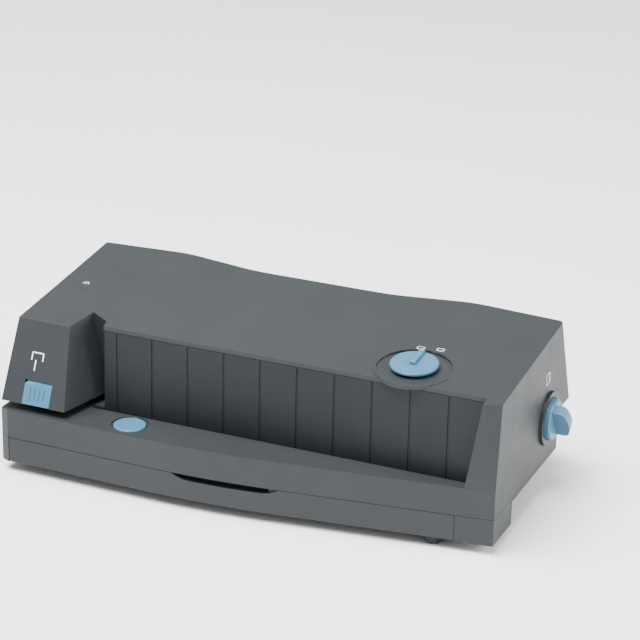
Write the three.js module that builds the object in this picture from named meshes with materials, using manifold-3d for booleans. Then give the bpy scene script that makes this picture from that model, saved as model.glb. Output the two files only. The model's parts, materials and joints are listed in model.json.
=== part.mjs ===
// Combined electric paper punch and stapler: a wedge-topped desk machine with a paper slot along its
// front, a stapling head at the left end, a hole-pattern dial on top and a margin knob on the right.
// Units are millimetres, +X right, +Y back, +Z up, and the machine stands on z = 0.
// While it is built, x = 0 is the middle of the housing and y = 0 is the plane of the paper slot.
import * as THREE from "three";
import { ConvexGeometry } from "three/addons/geometries/ConvexGeometry.js";
import { mergeVertices } from "three/addons/utils/BufferGeometryUtils.js";
import Module from "manifold-3d";

const wasm = await Module();
wasm.setup();

// ---- driving dimensions ----

// housing
const WIDTH = 454;
const WALL = 2.5;
const GAP = 0.3; // between pieces that meet
const RUNNING = 0.1; // radial, round a turning shaft
const SLIDE_GAP = 0.5; // beside a sliding piece
const FOOT_HEIGHT = 9;
const SEAM_Z = 33; // parting line between base and upper housing
const DECK_Z = 59;
const TOP_Z = 135.84; // top plane at y = 0
const SKY = 200; // a height above everything
const TOP_SLOPE = 0.1016; // rise of the top plane per mm of depth
const REAR_LEAN = 0.4056; // the rear face runs this far back per mm it goes down
const REAR_LOWER_Y = 156.5;
const OVERHANG_Z = 67;
const PLINTH_BACK_Y = 36.7;
const PAN_INSET = 26;
const PAN_BACK_Y = 152;
const UNDERSIDE_Z = 30;

// front edge in plan: a near-straight left stretch, one soft bend, a slanted right stretch
const FRONT_LEFT_Y = -40.7;
const FRONT_BULGE_Y = -43.3;
const FRONT_RIGHT_Y = -10;
const BEND_FROM_LEFT = 158;
const BEND_LENGTH = 110.8;
const BEND_STEPS = 8;
const CORNER_CUT = [8, 4]; // along x and y, at the front left corner

// rear edge of the top plane, as [distance in from each side, y]
const REAR_EDGE = [
  [0, 156.5],
  [87, 162.5],
  [116, 157.5],
  [160, 150.7],
];
const REAR_CORNER = 5;
const REAR_BEND = 14; // rounding of the shallow bends along the rear edge
const LEFT_LEAN = 0.045; // how far the left wall leans in per mm above the head's underside

// stapler head
const HEAD_Z = 66; // its underside, above the stapling throat
const HEAD_BOTTOM_WIDTH = 63.4; // at the front
const HEAD_SLOT_WIDTH = 71; // to the end of the paper slot
const HEAD_FAN = 0.2255; // how far its right wall runs right per mm back
const HEAD_LEAN = 0.228; // and leans left per mm up
const HEAD_FACE_TURN = 0.5; // its front is nearer on the right by twice this
const HEAD_FRONT_Y = -37;
const HEAD_TOP_FRONT_Y = -7.5;
const THROAT_DEPTH_Y = 30;
const BAY_WIDTH = 11; // of the corner bay where the head's right wall runs back past the slot
const BAY_BACK_Y = 24;

// right block beside the paper slot
const BLOCK_WIDTH = 26.5;
const BLOCK_TOP_WIDTH = 15.5;
const BLOCK_FRONT_Y = -13.5;
const BLOCK_TOP_FRONT_Y = -7.5;

// paper slot and its back panel
const SLOT_HALF = 2.7;
const DECK_BACK_Y = -2.9;
const PANEL_Y = 3.2;
const PANEL_THICKNESS = 2.7;
const PANEL_GROOVE_PITCH = 34.5;
const PANEL_GROOVE_FROM_RIGHT = 22;
const PANEL_GROOVE_WIDTH = 2;
const PANEL_GROOVE_DEPTH = 1;
const LIP_HEIGHT = 3.5;

// punching
const SHEET_WIDTH = 279.4;
const THREE_HOLE_PITCH = 108;
const TWO_HOLE_PITCH = 70;
const PIN_RADIUS = 3.5;
const PIN_Z = 49;
const PUNCH_STROKE = 12;
const PUNCH_BLOCK_Z = [40, 54];
const DIE_THICKNESS = 6;
const GUIDE_DEPTH = 13;
const RAM_Y = [44, 56];
const RAM_Z = [42, 57];
const CHASSIS_THICKNESS = 4;
const CAM_RADIUS = 14;
const CAM_CLEARANCE = 0.8;
const CAM_WIDTH = 8;
const CAM_OFFSET = 52;
const CAMSHAFT_RADIUS = 5;
const BUSH_WALL = 3;
const GEAR_MODULE = 1.5;
const GEAR_TEETH = 40;
const PINION_TEETH = 12;
const GEAR_WIDTH = 8;
const GEAR_FROM_CHASSIS = 4;
const MOTOR_RADIUS = 19;
const MOTOR_LENGTH = 80;
const MOTOR_NOSE_RADIUS = 8;
const MOTOR_SHAFT_RADIUS = 2.5;
const MOTOR_DROP = 20; // motor axis below the camshaft
const GUIDE_ROD_RADIUS = 4;
const GUIDE_ROD_OFFSET = 72; // each side of the sheet's middle

// margin stop, knob and rack
const PAPER_MARGIN = 12; // paper edge to hole centre
const MARGIN_TRAVEL = 3; // each way
const STOP_THICKNESS = 3;
const ARM_THICKNESS = 4;
const KNOB_Y = 125;
const KNOB_Z = 72;
const KNOB_RADIUS = 18.7;
const KNOB_PROUD = 8;
const GRIP_PROUD = 22.7;
const GRIP_WIDTH = 9;
const GRIP_ANGLE = 2.2; // radians from +Y towards +Z
const BEZEL_WALL = 5.5;
const BEZEL_DEPTH = 6;
const BEZEL_PROUD = 3;
const MARGIN_SHAFT_RADIUS = 4;
const RACK_DEPTH = 5.7;
const RACK_ABOVE_AXIS = 11; // with the stop at its lowest
const RACK_MODULE = 1;
const RACK_PINION_TEETH = 12;

// hole-pattern dial
const DIAL_FROM_RIGHT = 91;
const DIAL_Y = 31;
const DIAL_RADIUS = 21;
const DIAL_NECK_RADIUS = 17; // the disc overhangs its neck
const DIAL_RIM = 2.4; // height of the disc's rim
const DIAL_RECESS_RADIUS = 32.5;
const DIAL_RECESS_DEPTH = 1; // at the dial's centre
const DIAL_RECESS_TILT = 1.95; // degrees that the recess floor lies flatter than the top
const DIAL_PROUD = 5;
const DIAL_FIN_PROUD = 8.5;
const DIAL_FIN_WIDTH = 5;
const DIAL_FIN_FRONT = 5; // how far the fin reaches in front of the dial's centre
const DIAL_SHAFT_RADIUS = 4;
const DIAL_SWING = 25; // degrees between the two patterns
const CRANK_ARM = 14;
const CRANK_PIN_RADIUS = 2;
const SELECTOR_THICKNESS = 2;

// punch button
const BUTTON_FROM_LEFT = 119.5;
const BUTTON_Y = -21;
const BUTTON_RADIUS = 14.6;
const BUTTON_PROUD = 0.8;
const BUTTON_HEIGHT = 3.4;
const BUTTON_TRAVEL = 2;
const BUTTON_STEM_RADIUS = 2.5;
const BUTTON_DISH = 1.2;
const BUTTON_DISH_MARGIN = 2;
const BOARD_Z = 40;
const BOARD_THICKNESS = 1.6;
const SPRING_RADIUS = 9;
const SPRING_WIRE = 0.5;
const SPRING_TURNS = 4;

// chip tray
const TRAY_FROM_LEFT = 9;
const TRAY_FROM_RIGHT = 33.5;
const FASCIA_THICKNESS = 3;
const TRAY_WALL = 2;
const TRAY_BACK_Y = 26;
const SCOOP_FROM_LEFT = [171, 268];
const SCOOP_DEPTH = 5;

// stapling unit
const STAPLE_FROM_LEFT = 34;
const TAB_WIDTH = 27;
const TAB_HEIGHT = 20;
const TAB_THICKNESS = 4;
const TAB_RIB_PITCH = 4.5;
const MAGAZINE_WIDTH = 20;
const MAGAZINE_HEIGHT = 14;
const MAGAZINE_Y = [-23, 48];
const STAPLE_WIDTH = 12.4;
const STAPLE_WIRE = 0.7;
const STAPLE_LEG = 6;
const DRIVER_PIVOT = [44, 93];
const DRIVER_ARM_HALF = 3;
const DRIVER_WIDTH = 11;
const STAPLER_CAM_AXIS = [20, 106];
const STAPLER_CAM_RADIUS = 9.2;
const STAPLER_CAM_LIFT = 4.85;
const STAPLER_SHAFT_RADIUS = 3;
const STAPLER_MOTOR_RADIUS = 13;
const STAPLER_MOTOR_LENGTH = 10; // a flat gearmotor
const STAPLER_FRAME_HALF = 14;
const STAPLER_FRAME_THICKNESS = 2;
const DRIVER_PIN_RADIUS = 2.5;
const ANVIL_SIZE = [18, 10, 1.4];
const ANVIL_Y = -18;

// lamps, feet, screws and supply
const LAMP_RADIUS = 1.5;
const LAMPS_FROM_LEFT = [
  [26.2, 63.6],
  [30.4, 65.2],
];
const INLET_FROM_LEFT = 90;
const SWITCH_FROM_LEFT = 120;
const REAR_PANEL_Z = 50;
const FOOT_RADIUS = 8.5;
const SCREW_RADIUS = 1.6;
const SCREW_HEAD_RADIUS = 3.1;
const SCREW_HEAD_DEPTH = 2.6;
const SCREW_TIP_Z = 36;
const POST_RADIUS = 4.5;
const POST_Z = 21;
const INLET_SIZE = [28, 20];
const INLET_BLADES = [
  [-7, -1],
  [0, 2],
  [7, -1],
];
const SWITCH_SIZE = [13, 20];

// ---- worked out from the driving dimensions ----

const LEFT = -WIDTH / 2;
const RIGHT = WIDTH / 2;
const TILT = Math.atan(TOP_SLOPE);
const topZ = (y) => TOP_Z + TOP_SLOPE * y;
const SLOT_LEFT = LEFT + HEAD_SLOT_WIDTH;
const SLOT_RIGHT = RIGHT - BLOCK_WIDTH;
const PUNCH_X = SLOT_LEFT + SHEET_WIDTH / 2;
const PIN_X = {
  three_hole_pin_left: PUNCH_X - THREE_HOLE_PITCH,
  two_hole_pin_left: PUNCH_X - TWO_HOLE_PITCH / 2,
  three_hole_pin_centre: PUNCH_X,
  two_hole_pin_right: PUNCH_X + TWO_HOLE_PITCH / 2,
  three_hole_pin_right: PUNCH_X + THREE_HOLE_PITCH,
};
const GUIDE_ROD_X = [PUNCH_X - GUIDE_ROD_OFFSET, PUNCH_X + GUIDE_ROD_OFFSET];
const CHASSIS_LEFT_X = [SLOT_LEFT + 11, SLOT_LEFT + 11 + CHASSIS_THICKNESS];
const CHASSIS_RIGHT_X = [SLOT_RIGHT - 33, SLOT_RIGHT - 33 + CHASSIS_THICKNESS];
const BETWEEN_CHASSIS = [CHASSIS_LEFT_X[1] + GAP, CHASSIS_RIGHT_X[0] - GAP];
const GUIDE_Y = [SLOT_HALF + 0.2, SLOT_HALF + 0.2 + GUIDE_DEPTH];
const STOP_X = [SLOT_LEFT + 3, SLOT_RIGHT - 8];
const STOP_Z = PIN_Z - PAPER_MARGIN;
const ARM_X = [STOP_X[0] + ARM_THICKNESS / 2, STOP_X[1] - ARM_THICKNESS / 2];
const CAM_AXIS = [RAM_Y[1] + CAM_CLEARANCE + CAM_RADIUS, (RAM_Z[0] + RAM_Z[1]) / 2 + 7];
const GEAR_CENTRES = (GEAR_MODULE * (GEAR_TEETH + PINION_TEETH)) / 2;
const MOTOR_AXIS = [
  CAM_AXIS[0] + Math.sqrt(GEAR_CENTRES ** 2 - MOTOR_DROP ** 2),
  CAM_AXIS[1] - MOTOR_DROP,
];
const GEAR_X = [
  CHASSIS_RIGHT_X[1] + GEAR_FROM_CHASSIS,
  CHASSIS_RIGHT_X[1] + GEAR_FROM_CHASSIS + GEAR_WIDTH,
];
const MESH_ANGLE = Math.atan2(-MOTOR_DROP, MOTOR_AXIS[0] - CAM_AXIS[0]);
const KNOB_AXIS = [KNOB_Y, KNOB_Z];
const BEZEL_RADIUS = KNOB_RADIUS + BEZEL_WALL;
const SHAFT_END_X = RIGHT - BEZEL_DEPTH + 2;
const RACK_PITCH_Y = KNOB_Y - (RACK_MODULE * RACK_PINION_TEETH) / 2;
const DIAL_X = RIGHT - DIAL_FROM_RIGHT;
const SELECTOR_Z = [RAM_Z[1] + GAP, RAM_Z[1] + GAP + SELECTOR_THICKNESS];
const DIAL_DROP = (topZ(DIAL_Y) - SELECTOR_Z[1]) * Math.cos(TILT); // along the dial's axis
const CRANK_Y = DIAL_Y + DIAL_DROP * Math.sin(TILT);
const STAPLE_X = LEFT + STAPLE_FROM_LEFT;
const HEAD_RIGHT = LEFT + HEAD_BOTTOM_WIDTH;
const HEAD_SLOPE = (HEAD_TOP_FRONT_Y - HEAD_FRONT_Y) / (topZ(HEAD_TOP_FRONT_Y) - HEAD_Z);
const headFrontY = (z) => HEAD_FRONT_Y + HEAD_SLOPE * (z - HEAD_Z);
const MAGAZINE_Z = [HEAD_Z + WALL + 0.4, HEAD_Z + WALL + 0.4 + MAGAZINE_HEIGHT];
const STICK_Y = [MAGAZINE_Y[0] + 6.6, MAGAZINE_Y[0] + 50];
const STICK_Z = [MAGAZINE_Z[0] + 1 + GAP, MAGAZINE_Z[0] + 1 + GAP + STAPLE_LEG];
const PUSHER_Y = [STICK_Y[1] + GAP, STICK_Y[1] + 6];
const BUTTON_X = LEFT + BUTTON_FROM_LEFT;
const SWITCH_TOP_Z = BOARD_Z + BOARD_THICKNESS + GAP + 6.5;
const BOARD_POSTS = [
  [BUTTON_X - 19, BUTTON_Y + 7],
  [BUTTON_X + 19, BUTTON_Y + 7],
];
const TRAY_X = [LEFT + TRAY_FROM_LEFT, RIGHT - TRAY_FROM_RIGHT];
const TUB_X = [STOP_X[0] + 6, STOP_X[1] - 4];
const LAMP_PLACES = LAMPS_FROM_LEFT.map(([x, y]) => [LEFT + x, y]);
const INLET_X = LEFT + INLET_FROM_LEFT;
const SWITCH_X = LEFT + SWITCH_FROM_LEFT;
const FOOT_PLACES = {
  foot_front_left: [LEFT + 41, -10],
  foot_front_right: [RIGHT - 55, -4],
  foot_rear_left: [LEFT + 46, 125],
  foot_rear_right: [RIGHT - 45, 120],
};
const SCREW_PLACES = {
  base_screw_front_left: [LEFT + 38, 70],
  base_screw_rear_left: [LEFT + 38, 141],
  base_screw_front_right: [RIGHT - 18, 20],
  base_screw_rear_right: [RIGHT - 48, 141],
};

// ---- materials ----

const plastic = (color, roughness) => new THREE.MeshStandardMaterial({ color, roughness, metalness: 0 });
const metal = (color, roughness) => new THREE.MeshStandardMaterial({ color, roughness, metalness: 1 });
const CHARCOAL = () => plastic(0x5b6064, 0.55);
const DARK = () => plastic(0x34383b, 0.6);
const BLUE = () => plastic(0x7aa3ba, 0.4);
const BLACK = () => plastic(0x1c1d1f, 0.6);
const ACETAL = () => plastic(0xe4e2da, 0.5);
const RUBBER = () => plastic(0x141414, 0.9);
const STEEL = () => metal(0x9a9da0, 0.35);
const ZINC = () => metal(0xb4b6b3, 0.5);
const BRONZE = () => metal(0xa07c4c, 0.45);
const BOARD = () => plastic(0x2f5d3a, 0.6);

// ---- geometry helpers ----

// A closed three.js geometry as a solid that can be joined and cut.
function solid(geometry) {
  const open = geometry.index ? geometry.toNonIndexed() : geometry;
  const bare = new THREE.BufferGeometry().setAttribute("position", open.getAttribute("position"));
  const merged = mergeVertices(bare, 1e-4);
  return new wasm.Manifold(
    new wasm.Mesh({
      numProp: 3,
      vertProperties: merged.attributes.position.array,
      triVerts: new Uint32Array(merged.index.array),
    }),
  );
}

// Which way a flat outline's own x, y and z point when it is pushed out along each axis.
const OUTLINE_BASES = {
  x: [new THREE.Vector3(0, 1, 0), new THREE.Vector3(0, 0, 1), new THREE.Vector3(1, 0, 0)],
  y: [new THREE.Vector3(1, 0, 0), new THREE.Vector3(0, 0, 1), new THREE.Vector3(0, -1, 0)],
  z: [new THREE.Vector3(1, 0, 0), new THREE.Vector3(0, 1, 0), new THREE.Vector3(0, 0, 1)],
};

// An outline whose points are [u, v] or [u, v, setback], where a setback rounds that corner.
function outlineShape(points) {
  const shape = new THREE.Shape();
  points.forEach(([u, v, setback = 0], i) => {
    const corner = new THREE.Vector2(u, v);
    if (!setback) {
      if (i) shape.lineTo(u, v);
      else shape.moveTo(u, v);
      return;
    }
    const towards = ([x, y]) => new THREE.Vector2(x, y).sub(corner).setLength(setback).add(corner);
    const before = towards(points.at(i - 1));
    const after = towards(points[(i + 1) % points.length]);
    if (i) shape.lineTo(before.x, before.y);
    else shape.moveTo(before.x, before.y);
    shape.quadraticCurveTo(u, v, after.x, after.y);
  });
  return shape;
}

// An outline pushed out along an axis: (y, z) along x, (x, z) along y, (x, y) along z.
function prism(axis, points, [from, to], curveSegments = 5) {
  const geometry = new THREE.ExtrudeGeometry(outlineShape(points), {
    depth: to - from,
    bevelEnabled: false,
    curveSegments,
  });
  geometry.applyMatrix4(new THREE.Matrix4().makeBasis(...OUTLINE_BASES[axis]));
  const start = { x: [from, 0, 0], y: [0, to, 0], z: [0, 0, from] }[axis];
  return solid(geometry.translate(...start));
}

const rectangle = ([u0, u1], [v0, v1]) => [
  [u0, v0],
  [u1, v0],
  [u1, v1],
  [u0, v1],
];

const box = (x, y, z) => prism("z", rectangle(x, y), z);

const around = (centre, size) => [centre - size / 2, centre + size / 2];

// A round bar along an axis, through the point given in that axis's outline directions.
function rod(axis, radius, span, [u, v], sides = 20) {
  const ring = Array.from({ length: sides }, (_, i) => {
    const angle = (2 * Math.PI * (i + 0.5)) / sides;
    return [u + radius * Math.cos(angle), v + radius * Math.sin(angle)];
  });
  return prism(axis, ring, span);
}

// A closed profile of [radius, height] turned about +Z.
function turned(profile, sides) {
  const points = profile.map(([radius, height]) => new THREE.Vector2(radius, height));
  return new THREE.LatheGeometry(points, sides).rotateX(Math.PI / 2);
}

const hull = (corners) => solid(new ConvexGeometry(corners.map((c) => new THREE.Vector3(...c))));

const join = (...solids) => solids.reduce((whole, piece) => whole.add(piece));

const cut = (body, ...tools) => tools.reduce((left, tool) => left.subtract(tool), body);

// Moves a solid from the frame of the top plane, whose z is the plane's normal, to a point on it.
function onTop(body, x, y) {
  return body.rotate([(TILT * 180) / Math.PI, 0, 0]).translate([x, y, topZ(y)]);
}

const group = new THREE.Group();

function add(name, body, material) {
  const { vertProperties, triVerts } = body.getMesh();
  const geometry = new THREE.BufferGeometry();
  geometry.setAttribute("position", new THREE.BufferAttribute(new Float32Array(vertProperties), 3));
  geometry.setIndex(new THREE.BufferAttribute(new Uint32Array(triVerts), 1));
  const flat = geometry.toNonIndexed();
  flat.computeVertexNormals();
  const mesh = new THREE.Mesh(flat, material);
  mesh.name = name;
  group.add(mesh);
}

// A spur gear's outline in the (y, z) plane, with the middle of one tooth at the angle given.
function gearOutline([cy, cz], module, teeth, toothAngle) {
  const pitchRadius = (module * teeth) / 2;
  const corners = [
    [-0.27, -1.2],
    [-0.11, 0.9],
    [0.11, 0.9],
    [0.27, -1.2],
  ];
  const points = [];
  for (let tooth = 0; tooth < teeth; tooth += 1) {
    for (const [share, height] of corners) {
      const angle = toothAngle + ((tooth + share) * 2 * Math.PI) / teeth;
      const radius = pitchRadius + height * module;
      points.push([cy + radius * Math.cos(angle), cz + radius * Math.sin(angle)]);
    }
  }
  return points;
}

// A heart-shaped cam whose radius grows evenly over half a turn either side of its low point.
function camOutline([cy, cz], lowRadius, lift, lowAngle, steps = 40) {
  return Array.from({ length: steps }, (_, i) => {
    const turn = (2 * Math.PI * i) / steps;
    const radius = lowRadius + (lift * Math.min(turn, 2 * Math.PI - turn)) / Math.PI;
    return [cy + radius * Math.cos(lowAngle + turn), cz + radius * Math.sin(lowAngle + turn)];
  });
}

// A coil spring standing on z, as a swept round wire.
function coil(centre, radius, wire, turns, [z0, z1]) {
  class Helix extends THREE.Curve {
    getPoint(t, target = new THREE.Vector3()) {
      const angle = 2 * Math.PI * turns * t;
      const z = z0 + wire + t * (z1 - z0 - 2 * wire);
      return target.set(centre[0] + radius * Math.cos(angle), centre[1] + radius * Math.sin(angle), z);
    }
  }
  const section = new THREE.Shape(
    Array.from({ length: 6 }, (_, i) => {
      const angle = (Math.PI * i) / 3;
      return new THREE.Vector2(wire * Math.cos(angle), wire * Math.sin(angle));
    }),
  );
  return solid(new THREE.ExtrudeGeometry(section, { steps: turns * 14, extrudePath: new Helix() }));
}

// ---- housing ----

function frontY(x) {
  const bendStart = LEFT + BEND_FROM_LEFT;
  const bendEnd = bendStart + BEND_LENGTH;
  const slantStart = bendStart + BEND_LENGTH / 2;
  const slant = (FRONT_RIGHT_Y - FRONT_BULGE_Y) / (RIGHT - slantStart);
  const bendEndY = FRONT_BULGE_Y + (slant * BEND_LENGTH) / 2;
  if (x <= bendStart) {
    return FRONT_BULGE_Y + ((FRONT_LEFT_Y - FRONT_BULGE_Y) * (bendStart - x)) / BEND_FROM_LEFT;
  }
  if (x >= bendEnd) {
    return bendEndY + ((FRONT_RIGHT_Y - bendEndY) * (x - bendEnd)) / (RIGHT - bendEnd);
  }
  return FRONT_BULGE_Y + (bendEndY - FRONT_BULGE_Y) * ((x - bendStart) / BEND_LENGTH) ** 2;
}

// The front edge from x0 to x1 as outline points, moved in by an inset.
function frontEdge([x0, x1], inset) {
  const bendStart = LEFT + BEND_FROM_LEFT;
  const knots = [x0];
  for (let i = 0; i <= BEND_STEPS; i += 1) knots.push(bendStart + (BEND_LENGTH * i) / BEND_STEPS);
  knots.push(x1);
  return knots.filter((x) => x >= x0 && x <= x1).map((x) => [x, frontY(x) + inset]);
}

// The housing's outline in plan, from its front edge back to y1, moved in by an inset.
function planOutline(inset, y1) {
  const x0 = LEFT + inset;
  const x1 = RIGHT - inset;
  const [cutX, cutY] = CORNER_CUT;
  const corner = [x0, frontY(LEFT) + inset + cutY];
  return [corner, ...frontEdge([x0 + cutX, x1], inset), [x1, y1], [x0, y1]];
}

// Everything between the side walls, moved in by an inset: the left wall leans in above the
// head's underside.
function betweenSides(inset) {
  const [left, right] = [LEFT + inset, RIGHT - inset];
  const outline = [
    [left, 0],
    [right, 0],
    [right, SKY],
    [left + LEFT_LEAN * (SKY - HEAD_Z), SKY],
    [left, HEAD_Z],
  ];
  return prism("y", outline, [-SKY, 2 * SKY]);
}

// The rear edge of the top as outline points from right to left, with its bends rounded.
function rearEdge(inset) {
  const half = REAR_EDGE.map(([fromSide, y], i) => [fromSide, y - inset, i ? REAR_BEND : REAR_CORNER]);
  const x = (side, fromSide) => side * (WIDTH / 2 - (fromSide || inset));
  const right = half.map(([fromSide, y, bend]) => [x(1, fromSide), y, bend]);
  const left = half.map(([fromSide, y, bend]) => [x(-1, fromSide), y, bend]);
  return [...right, ...left.reverse()];
}

// The wedge-shaped main volume, moved in by an inset all round.
function wedge(inset) {
  const floor = SEAM_Z + GAP / 2 - (inset ? 1 : 0);
  const front = PANEL_Y - GAP + (inset ? inset - GAP : 0);
  const roof = -inset * Math.hypot(1, TOP_SLOPE);
  const behind = REAR_EDGE[1][1] + REAR_LEAN * TOP_Z;
  const profile = [
    [front, floor],
    [REAR_LOWER_Y - inset, floor],
    [REAR_LOWER_Y - inset, OVERHANG_Z + inset],
    [behind, OVERHANG_Z + inset],
    [behind, topZ(behind) + roof],
    [front, topZ(front) + roof],
  ];
  const side = prism("x", profile, [LEFT, RIGHT]).intersect(betweenSides(inset));
  const plan = [[RIGHT - inset, -60], ...rearEdge(inset), [LEFT + inset, -60]];
  const level = topZ(REAR_EDGE[0][1]);
  const settings = { depth: SKY, bevelEnabled: false, curveSegments: 4 };
  const geometry = new THREE.ExtrudeGeometry(outlineShape(plan), settings);
  geometry.translate(0, 0, -level);
  geometry.applyMatrix4(new THREE.Matrix4().makeShear(0, 0, 0, 0, 0, -REAR_LEAN));
  geometry.translate(0, 0, level);
  return side.intersect(solid(geometry));
}

// Where the head's right wall stands at a depth and a height: it fans out to the back and leans in.
const headWallX = (y, z) => HEAD_RIGHT + HEAD_FAN * (y - HEAD_FRONT_Y) - HEAD_LEAN * (z - HEAD_Z);

// The stapler head's volume in front of the wedge, with walls set in by an inset.
function headVolume(inset) {
  const back = THROAT_DEPTH_Y + 8;
  const x0 = LEFT + inset;
  const floor = HEAD_Z + inset;
  const roof = inset * Math.hypot(1, TOP_SLOPE);
  const lowFront = HEAD_FRONT_Y + inset;
  const highFront = HEAD_TOP_FRONT_Y + inset;
  const right = (y, z) => [headWallX(y, z) - inset, y, z];
  const left = (y, z) => [x0, y, z];
  const roofZ = (y) => topZ(y) - roof;
  const volume = hull([
    left(lowFront + HEAD_FACE_TURN, floor),
    right(lowFront - HEAD_FACE_TURN, floor),
    right(back, floor),
    left(back, floor),
    left(highFront + HEAD_FACE_TURN, roofZ(highFront + HEAD_FACE_TURN)),
    right(highFront - HEAD_FACE_TURN, roofZ(highFront - HEAD_FACE_TURN)),
    right(back, roofZ(back)),
    left(back, roofZ(back)),
  ]);
  return volume.intersect(betweenSides(inset));
}

// The bay beside the head, open to the paper slot and above, grown by an inset where walls close
// round it.
function cornerBay(inset) {
  const front = -1;
  const back = BAY_BACK_Y + inset;
  const x0 = SLOT_LEFT - inset;
  const x1 = SLOT_LEFT + BAY_WIDTH + inset;
  const underHead = prism(
    "z",
    [
      [x0, front],
      [x1, front],
      [x1, PANEL_Y + inset],
      [x0, back],
    ],
    [DECK_Z - inset, HEAD_Z + inset],
  );
  const corners = [];
  for (const z of [HEAD_Z, SKY]) {
    corners.push([headWallX(front, z) - inset, front, z]);
    corners.push([headWallX(back, z) - inset, back, z]);
    corners.push([x1, front, z]);
    corners.push([x1, PANEL_Y + inset, z]);
  }
  return join(underHead, hull(corners));
}

// The right block's volume in front of the wedge, with walls set in by an inset.
function blockVolume(inset) {
  const back = PANEL_Y + 8;
  const x1 = RIGHT - inset;
  const low = DECK_Z - 1 - inset;
  const lowLeft = RIGHT - BLOCK_WIDTH + inset;
  const highLeft = RIGHT - BLOCK_TOP_WIDTH + inset;
  const roof = inset * Math.hypot(1, TOP_SLOPE);
  return hull([
    [lowLeft, BLOCK_FRONT_Y + inset, low],
    [x1, BLOCK_FRONT_Y + 3.5 + inset, low],
    [x1, back, low],
    [lowLeft, back, low],
    [highLeft, BLOCK_TOP_FRONT_Y + inset, topZ(BLOCK_TOP_FRONT_Y) - roof],
    [x1, BLOCK_TOP_FRONT_Y + 4.5 + inset, topZ(BLOCK_TOP_FRONT_Y + 4.5) - roof],
    [x1, back, topZ(back) - roof],
    [highLeft, back, topZ(back) - roof],
  ]);
}

// The stapling throat under the head, grown by an inset where the cover's walls close round it.
function staplingThroat(inset) {
  return box(
    [LEFT - 10, SLOT_LEFT + inset],
    [-60, THROAT_DEPTH_Y + GAP + inset],
    [0, HEAD_Z + inset],
  );
}

// The slot left for the magazine and its tab, open to the front and below.
function magazineWay() {
  const windowX = around(STAPLE_X, TAB_WIDTH + 2 * GAP);
  const window = box(windowX, [-60, -15], [HEAD_Z - 1, HEAD_Z + TAB_HEIGHT + GAP]);
  const nose = box(around(STAPLE_X, MAGAZINE_WIDTH + 2), [-60, -13], [HEAD_Z - 1, HEAD_Z + WALL + 1]);
  const floorKept = box(around(STAPLE_X, 80), [HEAD_FRONT_Y + 8, 0], [HEAD_Z - 2, HEAD_Z + WALL]);
  return join(cut(window, floorKept), nose);
}

// The throat's rear opening between the corner bay and the block, from z0 to z1, drawn in by a gap.
function throatOutline([z0, z1], gap) {
  const left = SLOT_LEFT + BAY_WIDTH + gap;
  const rightTop = SLOT_RIGHT + ((BLOCK_WIDTH - BLOCK_TOP_WIDTH) * (z1 - DECK_Z)) / (TOP_Z - DECK_Z);
  return [
    [left, z0],
    [SLOT_RIGHT - gap, z0],
    [SLOT_RIGHT - gap, DECK_Z],
    [rightTop - gap, z1],
    [left, z1],
  ];
}

// Moves a solid to the dial's recess, whose floor lies flatter than the top and meets its front lip.
function inRecess(body) {
  const turned = body.translate([0, 0, -DIAL_RECESS_DEPTH]).rotate([-DIAL_RECESS_TILT, 0, 0]);
  return onTop(turned, DIAL_X, DIAL_Y);
}

// The solid outer volume of the upper housing: wedge, head, block and deck.
function upperOutside() {
  const windowOutline = throatOutline([0, topZ(0) - LIP_HEIGHT], 0);
  const panelWindow = prism("y", windowOutline, [-20, PANEL_Y + PANEL_THICKNESS + 1]);
  const boss = inRecess(rod("z", DIAL_RECESS_RADIUS + WALL, [-WALL, DIAL_RECESS_DEPTH], [0, 0], 48));
  const whole = join(cut(wedge(0), panelWindow), headVolume(0), blockVolume(0));
  return [cut(whole, staplingThroat(0), cornerBay(0)), cut(boss, panelWindow, cornerBay(0))];
}

// The deck in front of and left of the slot, as a block, and the hollow under it.
function deckOutside() {
  return prism(
    "z",
    [
      ...planOutline(0, PANEL_Y).slice(0, -1),
      [SLOT_RIGHT, PANEL_Y],
      [SLOT_RIGHT, DECK_BACK_Y],
      [SLOT_LEFT - GAP, DECK_BACK_Y],
      [SLOT_LEFT - GAP, THROAT_DEPTH_Y + 1],
      [LEFT, THROAT_DEPTH_Y + 1],
    ],
    [SEAM_Z + GAP / 2, DECK_Z],
  );
}

// Under the deck the hollow is open to the paper slot, where the die plate and the margin stop work.
function deckHollow() {
  const back = PANEL_Y + 2 * WALL;
  return prism(
    "z",
    [
      ...planOutline(WALL, back).slice(0, -1),
      [SLOT_RIGHT + WALL, back],
      [SLOT_RIGHT + WALL, DECK_BACK_Y - WALL],
      [SLOT_RIGHT, DECK_BACK_Y - WALL],
      [SLOT_RIGHT, back],
      [SLOT_LEFT - GAP - WALL, back],
      [SLOT_LEFT - GAP - WALL, THROAT_DEPTH_Y + 2 * WALL],
      [LEFT + WALL, THROAT_DEPTH_Y + 2 * WALL],
    ],
    [0, DECK_Z - WALL],
  );
}

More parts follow.
